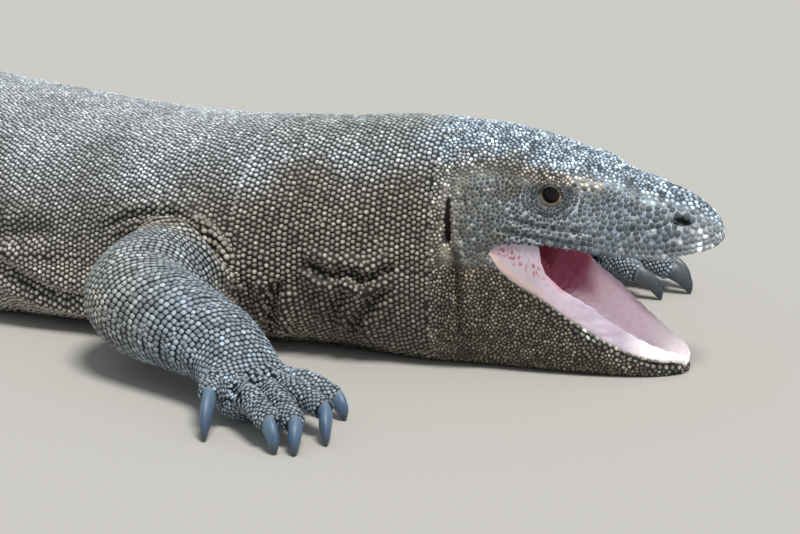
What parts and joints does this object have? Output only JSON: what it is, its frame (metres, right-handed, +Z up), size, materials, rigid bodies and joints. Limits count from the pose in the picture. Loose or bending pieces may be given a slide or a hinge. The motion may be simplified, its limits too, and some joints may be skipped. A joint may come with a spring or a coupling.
{
  "type": "komodo dragon lying with its mouth open",
  "caption": "Life-size still model of an adult komodo dragon lying on its belly, head level, jaws wide open, forelegs planted, tail curved behind.",
  "frame": {"origin": "on the floor under the middle of the belly", "axes": "+X forwards along the trunk towards the head, +Y to the animal's left, +Z up"},
  "size_m": [2.6916, 0.8142, 0.182],
  "materials": {
    "body_skin": "dry beaded scales, brown-grey with dark gaps and a blue-grey bloom on the back",
    "head_skin": "small dry plates, blue-grey on top, cream speckles on snout, lips and brow",
    "jaw_skin": "fine dry scales, dark brown-grey, pale speckles along the lip",
    "limb_skin": "dry overlapping round scales, blue-grey",
    "claw": "smooth horn, slate blue with darker tips",
    "mouth_lining": "wet pink mucosa with pale gums",
    "throat": "wet dark red",
    "eye": "wet, near black with a red-brown ring",
    "ear_hollow": "dark dry hollow"
  },
  "bodies": {
    "root": {"head": "head_skin", "lower_jaw": "jaw_skin", "mouth_floor": "mouth_lining", "palate": "mouth_lining", "throat_lining": "throat", "cheek_web_right": "mouth_lining", "eye_right": "eye", "ear_right": "ear_hollow", "cheek_web_left": "mouth_lining", "eye_left": "eye", "ear_left": "ear_hollow", "neck": "body_skin", "chest": "body_skin", "belly_front": "body_skin", "belly_rear": "body_skin", "pelvis": "body_skin", "tail_1": "body_skin", "tail_2": "body_skin", "tail_3": "body_skin", "tail_4": "body_skin", "tail_5": "body_skin", "tail_6": "body_skin", "upper_arm_right": "limb_skin", "forearm_right": "limb_skin", "hand_right": "limb_skin", "thigh_right": "limb_skin", "shank_right": "limb_skin", "foot_right": "limb_skin", "finger_claw_right_1": "claw", "finger_claw_right_2": "claw", "finger_claw_right_3": "claw", "finger_claw_right_4": "claw", "finger_claw_right_5": "claw", "toe_claw_right_1": "claw", "toe_claw_right_2": "claw", "toe_claw_right_3": "claw", "toe_claw_right_4": "claw", "toe_claw_right_5": "claw", "upper_arm_left": "limb_skin", "forearm_left": "limb_skin", "hand_left": "limb_skin", "thigh_left": "limb_skin", "shank_left": "limb_skin", "foot_left": "limb_skin", "finger_claw_left_1": "claw", "finger_claw_left_2": "claw", "finger_claw_left_3": "claw", "finger_claw_left_4": "claw", "finger_claw_left_5": "claw", "toe_claw_left_1": "claw", "toe_claw_left_2": "claw", "toe_claw_left_3": "claw", "toe_claw_left_4": "claw", "toe_claw_left_5": "claw"}
  },
  "joints": []
}
